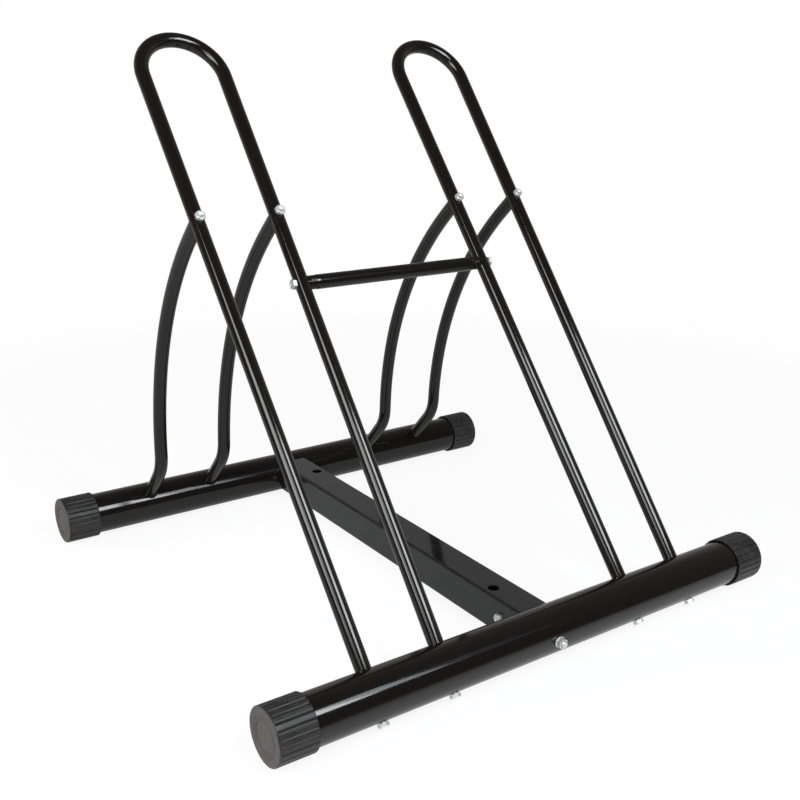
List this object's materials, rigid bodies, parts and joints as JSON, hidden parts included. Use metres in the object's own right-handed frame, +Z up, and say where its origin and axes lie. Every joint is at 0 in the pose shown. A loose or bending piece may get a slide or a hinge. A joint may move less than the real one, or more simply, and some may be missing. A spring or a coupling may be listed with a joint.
{
  "type": "floor bike rack",
  "caption": "Free-standing floor rack whose leaning tube hoops each hold a bicycle by one wheel, on two capped base tubes joined by a square beam.",
  "frame": {"origin": "on the floor, midway between the two base tubes and midway along them", "axes": "+X along the base tubes, towards the right hoop as seen from the front; +Y from the front base tube, where the hoops stand, to the rear one, where the stays stand; +Z up"},
  "size_m": [0.6486, 0.6104, 0.6079],
  "materials": {
    "paint": "gloss black powder coat on round tube",
    "beam_paint": "satin black powder coat on the square beam and its plates",
    "cap_rubber": "matte charcoal moulded rubber with lengthwise ribs",
    "zinc": "bright zinc-plated steel hardware",
    "plug_steel": "plain turned steel, hidden inside the tube ends"
  },
  "bodies": {
    "root": {"front_base_tube": "paint", "rear_base_tube": "paint", "end_cap_front_left": "cap_rubber", "end_cap_front_right": "cap_rubber", "end_cap_rear_left": "cap_rubber", "end_cap_rear_right": "cap_rubber", "connecting_beam": "beam_paint", "beam_bracket_front": "beam_paint", "beam_bracket_rear": "beam_paint", "beam_end_bolt_front": "zinc", "beam_end_bolt_rear": "zinc", "beam_end_washer_front": "zinc", "beam_end_washer_rear": "zinc", "beam_end_nut_front": "zinc", "beam_end_nut_rear": "zinc", "beam_cross_bolt_front": "zinc", "beam_cross_bolt_rear": "zinc", "beam_cross_nut_front": "zinc", "beam_cross_nut_rear": "zinc", "hoop_left": "paint", "hoop_right": "paint", "cross_tube": "paint", "cross_tube_left_bolt": "zinc", "cross_tube_left_plug": "plug_steel", "cross_tube_right_bolt": "zinc", "cross_tube_right_plug": "plug_steel", "stay_left_outer": "paint", "stay_left_inner": "paint", "stay_right_inner": "paint", "stay_right_outer": "paint", "hoop_foot_left_outer_bolt": "zinc", "hoop_foot_left_outer_plug": "plug_steel", "hoop_foot_left_inner_bolt": "zinc", "hoop_foot_left_inner_plug": "plug_steel", "hoop_foot_right_inner_bolt": "zinc", "hoop_foot_right_inner_plug": "plug_steel", "hoop_foot_right_outer_bolt": "zinc", "hoop_foot_right_outer_plug": "plug_steel", "stay_top_left_outer_bolt": "zinc", "stay_top_left_outer_plug": "plug_steel", "stay_top_left_inner_bolt": "zinc", "stay_top_left_inner_plug": "plug_steel", "stay_top_right_inner_bolt": "zinc", "stay_top_right_inner_plug": "plug_steel", "stay_top_right_outer_bolt": "zinc", "stay_top_right_outer_plug": "plug_steel", "stay_foot_left_outer_bolt": "zinc", "stay_foot_left_outer_plug": "plug_steel", "stay_foot_left_inner_bolt": "zinc", "stay_foot_left_inner_plug": "plug_steel", "stay_foot_right_inner_bolt": "zinc", "stay_foot_right_inner_plug": "plug_steel", "stay_foot_right_outer_bolt": "zinc", "stay_foot_right_outer_plug": "plug_steel"}
  },
  "joints": []
}
